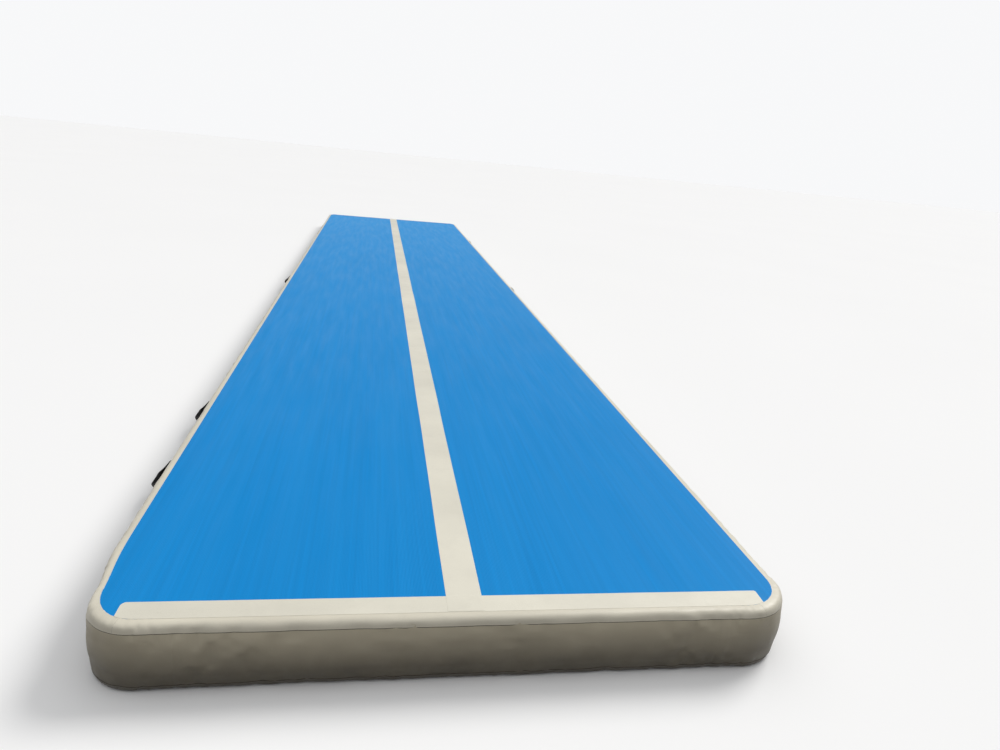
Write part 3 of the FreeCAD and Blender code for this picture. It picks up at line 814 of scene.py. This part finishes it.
def wall_seams(s, angles):
    """The ridge where one wall laps the next, which shows through the tape over it."""
    total = np.zeros((len(s), len(angles)))
    for seam in SEAMS:
        away = np.mod(s - seam + ROUND / 2, ROUND) - ROUND / 2
        ridge = smooth(-1 * MM, 1 * MM, away) - smooth(26 * MM, 30 * MM, away)
        total += ridge[:, None] * LAYER * np.clip(np.cos(angles) * 1.5, 0, 1)
    return total


def tape_edge(s, angles):
    """A tape's free edge, lifted here and there."""
    down = smooth(0.9, 1.0, 1 - (np.abs(angles) - TAPE_ANGLE) / (RIGHT_ANGLE - TAPE_ANGLE))
    lift = 0.25 + 0.5 * smooth(0.2, 0.9, waves(s, 0 * s, 0.12, 41, 2, ROUND))
    return wall_seams(s, angles) + down[None, :] * lift[:, None] * MM * 0.7


def make_walls():
    for node, (s0, s1) in wall_ranges().items():
        name = node.replace("wall", "panel")
        wall = layer_mesh(name, s0, s1, RIGHT_ANGLE, -RIGHT_ANGLE, 0.0, WALL,
                          extra=wall_seams, bead=1.0 * MM)
        on_mat(wall, node)


def make_lining():
    """The inner wall, which follows the outer wall's every fold."""
    lining = layer_mesh("lining_band", 0.0, ROUND, RIGHT_ANGLE, -RIGHT_ANGLE, -4 * LAYER, LINING)
    on_mat(lining, "inner_wall")


def make_tapes():
    offset = LAYER + 0.05 * MM
    for level in ("top", "bottom"):
        top, bottom = (RIGHT_ANGLE, TAPE_ANGLE) if level == "top" else (-TAPE_ANGLE, -RIGHT_ANGLE)
        for place, (s0, s1) in tape_ranges().items():
            tape = layer_mesh(f"{level}_seam_{place}", s0 + 0.1 * MM, s1 - 0.1 * MM, top, bottom, offset,
                              TAPE if level == "top" else SHADED_LOW_TAPE,
                              flat=TAPE_ON_FACE, extra=tape_edge, bead=1.6 * MM)
            on_mat(tape, f"{level}_tape_{place}")


# ---- handles
HANDLE_TAB_END = 157 * MM
HANDLE_LEAVE = 112 * MM
HANDLE_TOP = 50 * MM
STANDOFF = 58 * MM
WEB_HALF = 19 * MM
GRIP_HALF = 13 * MM
STITCH_PITCH, STITCH_GAP = 3.4 * MM, 0.8 * MM
PATCH_MARGIN = 9 * MM
PATCH_ROUNDING = 0.192          # how much its corners are drawn in
HANDLE_PIVOT = 14 * MM          # height of the line it swings about, over the sewn webbing
HANDLE_BLEND_END = 86 * MM      # from the middle to where the webbing is wholly the swinging loop's


def strap_line(samples=90):
    """The webbing's middle line from a sewn end to the middle of the grip, as (outward, along)."""
    corners = np.array([(0, HANDLE_TAB_END), (0, HANDLE_LEAVE), (STANDOFF, HANDLE_TOP), (STANDOFF, 0)])
    radii = (16 * MM, 30 * MM)
    points = [corners[0]]
    for before, at, after, radius in zip(corners, corners[1:], corners[2:], radii):
        into, out = (at - before) / np.linalg.norm(at - before), (after - at) / np.linalg.norm(after - at)
        half = math.acos(np.clip(into @ out, -1, 1)) / 2
        back = radius * math.tan(half)
        for t in np.linspace(0, 1, 12):
            a, b = at - into * back * (1 - t), at + out * back * t
            points.append(a * (1 - t) + b * t)
    points.append(corners[-1])
    points = np.array(points)
    run = np.concatenate([[0], np.cumsum(np.linalg.norm(np.diff(points, axis=0), axis=1))])
    even = np.linspace(0, run[-1], samples)
    return np.stack([np.interp(even, run, points[:, k]) for k in (0, 1)], axis=-1), even


def strap_section(half, thick):
    """A flattened ring of points, (across the thickness, across the width)."""
    t = thick / 2
    pairs = [(-t, -half + t), (-t, -half / 2), (-t, 0), (-t, half / 2), (-t, half - t), (-t * 0.4, half),
             (t * 0.4, half), (t, half - t), (t, half / 2), (t, 0), (t, -half / 2), (t, -half + t),
             (t * 0.4, -half), (-t * 0.4, -half)]
    return np.array(pairs)


def make_strap(name, side, end, rest_angle, pivot, seed):
    """Half of a handle's webbing: sewn flat on the wall, leaving it, and folding narrower into the grip."""
    line, run = strap_line()
    tangent = np.gradient(line, axis=0)
    tangent /= np.linalg.norm(tangent, axis=1)[:, None]
    normal = np.stack([-tangent[:, 1], tangent[:, 0]], axis=-1) * -1
    fold = 1 - smooth(HANDLE_TOP + 12 * MM, HANDLE_LEAVE - 8 * MM, line[:, 1])
    sway = waves(run, 0 * run, 0.11, seed, 2) * 1.2 * MM * (1 - smooth(90 * MM, 110 * MM, line[:, 1]))
    rings, uvs = [], []
    turn = math.radians(rest_angle) * (1 - smooth(HANDLE_BLEND_END, HANDLE_LEAVE, line[:, 1]))
    for k in range(len(line)):
        half = WEB_HALF + (GRIP_HALF - WEB_HALF) * fold[k]
        thick = (2.0 + 3.0 * fold[k]) * MM
        section = strap_section(half, thick)
        cup = fold[k] * 1.6 * MM * ((section[:, 1] / half) ** 2)
        out = line[k, 0] + normal[k, 0] * section[:, 0] - cup + sway[k]
        along = line[k, 1] + normal[k, 1] * section[:, 0]
        across = section[:, 1]
        c, s = math.cos(turn[k]), math.sin(turn[k])
        arm = out - HANDLE_PIVOT
        beyond, height = arm * c - across * s, arm * s + across * c
        ring = [pivot[0] + side * beyond, pivot[1] + end * along, pivot[2] + height]
        rings.append(np.stack(ring, axis=-1))
        uvs.append(np.stack([np.full(len(section), run[k]), section[:, 1]], axis=-1))
    columns = len(rings[0])
    verts = np.concatenate(rings + [rings[0].mean(axis=0)[None]])
    faces = grid_faces(len(rings), columns, closed=True)
    cap = len(verts) - 1
    faces += [(j, (j + 1) % columns, cap) for j in range(columns)]
    if side * end > 0:
        faces = [face[::-1] for face in faces]
    all_uvs = np.concatenate(uvs + [np.zeros((1, 2))])
    return new_object(name, verts, faces, WEBBING, all_uvs)


def make_handles():
    for body, side, number, joint in each_handle():
        pivot = joint["pos_m"]
        rest_angle = -sum(joint["range_deg"]) / 2
        for which, end in (("a", -1), ("b", 1)):
            seed = number * 7 + end + side
            strap = make_strap(f"{body}_{which}", side, end, rest_angle, pivot, seed)
            nodes = [body.replace("handle", "handle_grip")]
            if strap.name == "handle_left_1_a":
                nodes.append("handle_tabs")
            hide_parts(*nodes)
            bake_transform(strap)


def wall_reach(height, offset):
    """How far the wall's surface stands out beyond the face's edge at a height."""
    angle = np.arcsin(np.clip((height - MID_Z) / (WALL_RADIUS + offset), -1, 1))
    return BULGE - WALL_RADIUS + (WALL_RADIUS + offset) * np.cos(angle)


def make_patches():
    """A rounded vinyl patch on the wall under each sewn end."""
    half_y, half_z = (HANDLE_TAB_END - HANDLE_LEAVE) / 2 + PATCH_MARGIN, WEB_HALF + PATCH_MARGIN
    centre = (HANDLE_TAB_END + HANDLE_LEAVE) / 2
    steps = np.linspace(-1, 1, 17)
    steps = np.sign(steps) * np.abs(steps) ** 0.75
    a, b = np.meshgrid(steps, steps, indexing="ij")
    across = half_y * a * (1 - PATCH_ROUNDING * np.clip(np.abs(b) - 0.6, 0, 1) ** 2)
    height = MID_Z + half_z * b * (1 - PATCH_ROUNDING * np.clip(np.abs(a) - 0.6, 0, 1) ** 2)
    reach = FACE_HALF_W + wall_reach(height, LAYER)
    sheets = []
    for _, side, _, joint in each_handle():
        for end in (-1, 1):
            points = np.stack([side * reach, joint["pos_m"][1] + end * centre + across, height], axis=-1)
            if side < 0:
                points = points[::-1]
            sheets.append(with_rim(points, (-side, 0.0, 0.0), LAYER + 1.0 * MM)[:2])
    verts, faces = merged(sheets)
    patches = new_object("handle_patch_set", verts, faces, PATCH, verts[:, 1:])
    on_mat(patches, "handle_patches")


def stitch(start, end, out, radius=0.35 * MM, sides=6, steps=5):
    """One stitch: a short thread that dips into the webbing at both ends."""
    start, end, out = np.array(start), np.array(end), np.array(out)
    along = end - start
    across = np.cross(out, along / np.linalg.norm(along))
    rings = []
    for t in np.linspace(0, 1, steps):
        rise = (math.sin(math.pi * t) * 1.1 - 0.45) * radius * 1.6
        size = radius * (0.55 + 0.45 * math.sin(math.pi * t))
        centre = start + along * t + out * rise
        rings.append([centre + (out * math.cos(a) + across * math.sin(a)) * size
                      for a in np.linspace(0, 2 * math.pi, sides, endpoint=False)])
    return np.array(rings).reshape(-1, 3), grid_faces(steps, sides, closed=True)


def merged(parts):
    """One array of vertices and one list of faces, from many (vertices, faces) pairs."""
    verts, faces, count = [], [], 0
    for some_verts, some_faces in parts:
        verts.append(some_verts)
        faces += [tuple(count + k for k in face) for face in some_faces]
        count += len(some_verts)
    return np.concatenate(verts), faces


def stitch_rows():
    """The rows of stitches on a sewn end, as pairs of points: a frame and a cross."""
    inner, outer = HANDLE_LEAVE + 8 * MM, HANDLE_TAB_END - 4 * MM
    edge = WEB_HALF - 3.5 * MM
    a, b, c, d = (inner, -edge), (inner, edge), (outer, -edge), (outer, edge)
    return [(a, b), (c, d), (a, c), (b, d), (a, d), (b, c)]


def make_stitching():
    """Every stitch through the sewn ends, each one a thread of its own."""
    threads = []
    for _, side, _, joint in each_handle():
        pivot = joint["pos_m"]
        x = pivot[0] - side * (HANDLE_PIVOT - 1.0 * MM)
        for end in (-1, 1):
            for (a0, b0), (a1, b1) in stitch_rows():
                length = math.hypot(a1 - a0, b1 - b0)
                steps = int(length / STITCH_PITCH)
                for k in range(steps):
                    p, q = [(x, pivot[1] + end * (a0 + (a1 - a0) * t), pivot[2] + b0 + (b1 - b0) * t)
                            for t in (k / steps, (k + 1) / steps - STITCH_GAP / length)]
                    threads.append(stitch(p, q, (side, 0, 0)))
    stitches = new_object("handle_stitches", *merged(threads), THREAD)
    on_mat(stitches, "handle_stitching")


# ---- the valve's spring
SPRING_WIRE = 0.5 * MM          # the wire's radius
SPRING_PITCH = 3.0 * MM


def make_spring():
    """The coil under the button, with its inner end in the valve."""
    low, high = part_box("valve_spring")
    centre_x, centre_z = (low[0] + high[0]) / 2, (low[2] + high[2]) / 2
    coil = (high[0] - low[0]) / 2 - SPRING_WIRE
    length = high[1] - low[1] - 2 * SPRING_WIRE
    turns = np.linspace(0, 2 * math.pi * length / SPRING_PITCH, 160)[:, None]
    round_wire = np.linspace(0, 2 * math.pi, 8, endpoint=False)
    reach = coil + SPRING_WIRE * np.cos(round_wire)
    along = low[1] + SPRING_WIRE * (1 + np.sin(round_wire)) + turns * SPRING_PITCH / (2 * math.pi)
    verts = np.stack([centre_x + reach * np.cos(turns), along, centre_z + reach * np.sin(turns)], axis=-1)
    count, sides = verts.shape[:2]
    faces = grid_faces(count, sides, closed=True)
    faces += [tuple(range(sides)), tuple(count * sides - 1 - k for k in range(sides))]
    spring = new_object("coil_spring", verts.reshape(-1, 3), faces, spring_wire(), loose=True)
    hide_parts("valve_spring")
    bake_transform(spring)


# ---- carried-over pieces
def dress(node, material, bevel=0.0):
    """Gives a CAD node its material, and rounds its sharp edges a little."""
    obj = NODES[node]
    obj.data.materials.clear()
    obj.data.materials.append(material)
    if bevel:
        modifier = obj.modifiers.new("rounded_edges", "BEVEL")
        modifier.width = bevel
        modifier.segments = 3
        modifier.limit_method = "ANGLE"
        modifier.angle_limit = math.radians(50)
        modifier.harden_normals = False


def dress_nodes():
    for names, material, bevel in (
            ("body nut cap", DARK_PLASTIC, 0.5 * MM), ("stem", DARK_PLASTIC, 0.2 * MM),
            ("button", PALE_PLASTIC, 0.3 * MM), ("tether tether_anchor", SOFT_PLASTIC, 0.25 * MM),
            ("gasket poppet_seal cap_seal", RUBBER, 0.2 * MM), ("patch", PATCH, 0.2 * MM)):
        for name in names.split():
            dress(f"valve_{name}", material, bevel)
    dress("drop_threads", YARN)


# ---- studio
CAMERA_PLACE = (-0.2832, -6.5263, 1.3757)
CAMERA_TURNS = (11.14784, 17.61598, 5.73352)     # degrees to the right, down, and of roll
CAMERA_LENS = 25.2
SKY_LOW = 0.05          # the sky's light at the horizon, overhead, in reflections and as the camera sees it
SKY_HIGH = 1.04
SKY_REFLECTED = 0.66
SKY_SEEN = 0.95


def make_camera():
    data = bpy.data.cameras.new("camera")
    data.sensor_width = 36
    data.lens = CAMERA_LENS
    camera = bpy.data.objects.new("camera", data)
    bpy.context.scene.collection.objects.link(camera)
    yaw, pitch, roll = (math.radians(angle) for angle in CAMERA_TURNS)
    forward = Vector((math.sin(yaw) * math.cos(pitch), math.cos(yaw) * math.cos(pitch), -math.sin(pitch)))
    right = Vector((math.cos(yaw), -math.sin(yaw), 0))
    up = right.cross(forward)
    rolled_right = right * math.cos(roll) + up * math.sin(roll)
    rolled_up = up * math.cos(roll) - right * math.sin(roll)
    matrix = camera.matrix_world.to_3x3()
    for k, axis in enumerate((rolled_right, rolled_up, -forward)):
        matrix.col[k] = axis
    camera.matrix_world = matrix.to_4x4()
    camera.location = CAMERA_PLACE
    bpy.context.scene.camera = camera


def sun_light(name, source, strength, softness, colour):
    """Even light from the direction of source, with soft shadows. softness is its width in degrees."""
    data = bpy.data.lights.new(name, "SUN")
    data.energy = strength
    data.angle = math.radians(softness)
    data.color = colour
    light = bpy.data.objects.new(name, data)
    light.rotation_euler = Vector(source).to_track_quat("Z", "Y").to_euler()
    bpy.context.scene.collection.objects.link(light)


def map_range(tree, value, low, high, start=0.0, end=1.0, kind="LINEAR"):
    """A node that takes value, from start to end, to a number from low to high. low may be a socket."""
    node = tree.nodes.new("ShaderNodeMapRange")
    node.interpolation_type = kind
    tree.links.new(value, node.inputs[0])
    for index, number in ((1, start), (2, end), (4, high)):
        node.inputs[index].default_value = number
    if isinstance(low, bpy.types.NodeSocket):
        tree.links.new(low, node.inputs[3])
    else:
        node.inputs[3].default_value = low
    return node.outputs[0]


def make_world():
    """Soft light from overhead, fading towards the horizon. The camera sees it as bright as the floor."""
    world = bpy.data.worlds.new("studio")
    world.use_nodes = True
    tree = world.node_tree
    background = tree.nodes["Background"]
    background.inputs[0].default_value = (0.985, 0.99, 1.0, 1)
    split = tree.nodes.new("ShaderNodeSeparateXYZ")
    tree.links.new(tree.nodes.new("ShaderNodeTexCoord").outputs["Generated"], split.inputs[0])
    path = tree.nodes.new("ShaderNodeLightPath")
    light = map_range(tree, split.outputs[2], SKY_LOW, SKY_HIGH, 0.25, 0.95, "SMOOTHSTEP")
    light = map_range(tree, path.outputs["Is Glossy Ray"], light, SKY_REFLECTED)
    light = map_range(tree, path.outputs["Is Camera Ray"], light, SKY_SEEN)
    tree.links.new(light, background.inputs[1])
    bpy.context.scene.world = world


def floor_material():
    """A pale floor that throws little light back up, so that the wall's underside stays in shade."""
    nodes = Nodes("studio_floor", Roughness=0.9, Specular_IOR_Level=0.1)
    pale = nodes.mix(nodes.noise(nodes.place(), 0.4, 2), (0.87, 0.87, 0.87), (0.89, 0.89, 0.89))
    dark = nodes.mix(nodes.noise(nodes.place(), 3.0, 2), (0.10, 0.085, 0.075), (0.06, 0.055, 0.05))
    bounce = nodes.node("ShaderNodeLightPath").outputs["Is Diffuse Ray"]
    return nodes.done(nodes.mix(bounce, pale, dark))


def make_floor():
    half = 80.0
    verts = [(-half, -half, 0), (half, -half, 0), (half, half, 0), (-half, half, 0)]
    floor = new_object("floor", verts, [(0, 1, 2, 3)], floor_material(), loose=True)
    floor.location.z = -0.4 * MM


def make_studio():
    bpy.context.scene.view_settings.view_transform = "Standard"
    make_world()
    make_floor()
    sun_light("key", (0.62, 0.45, 0.72), 1.75, 24, (1.0, 0.985, 0.96))
    sun_light("fill", (-0.5, -0.6, 0.9), 0.10, 60, (0.96, 0.98, 1.0))


make_camera()
make_faces()
make_centre_line()
for end_name in ("near", "far"):
    make_end_strip(end_name)
make_walls()
make_lining()
make_tapes()
make_patches()
make_handles()
make_stitching()
make_spring()
dress_nodes()
make_studio()

bpy.context.view_layer.update()
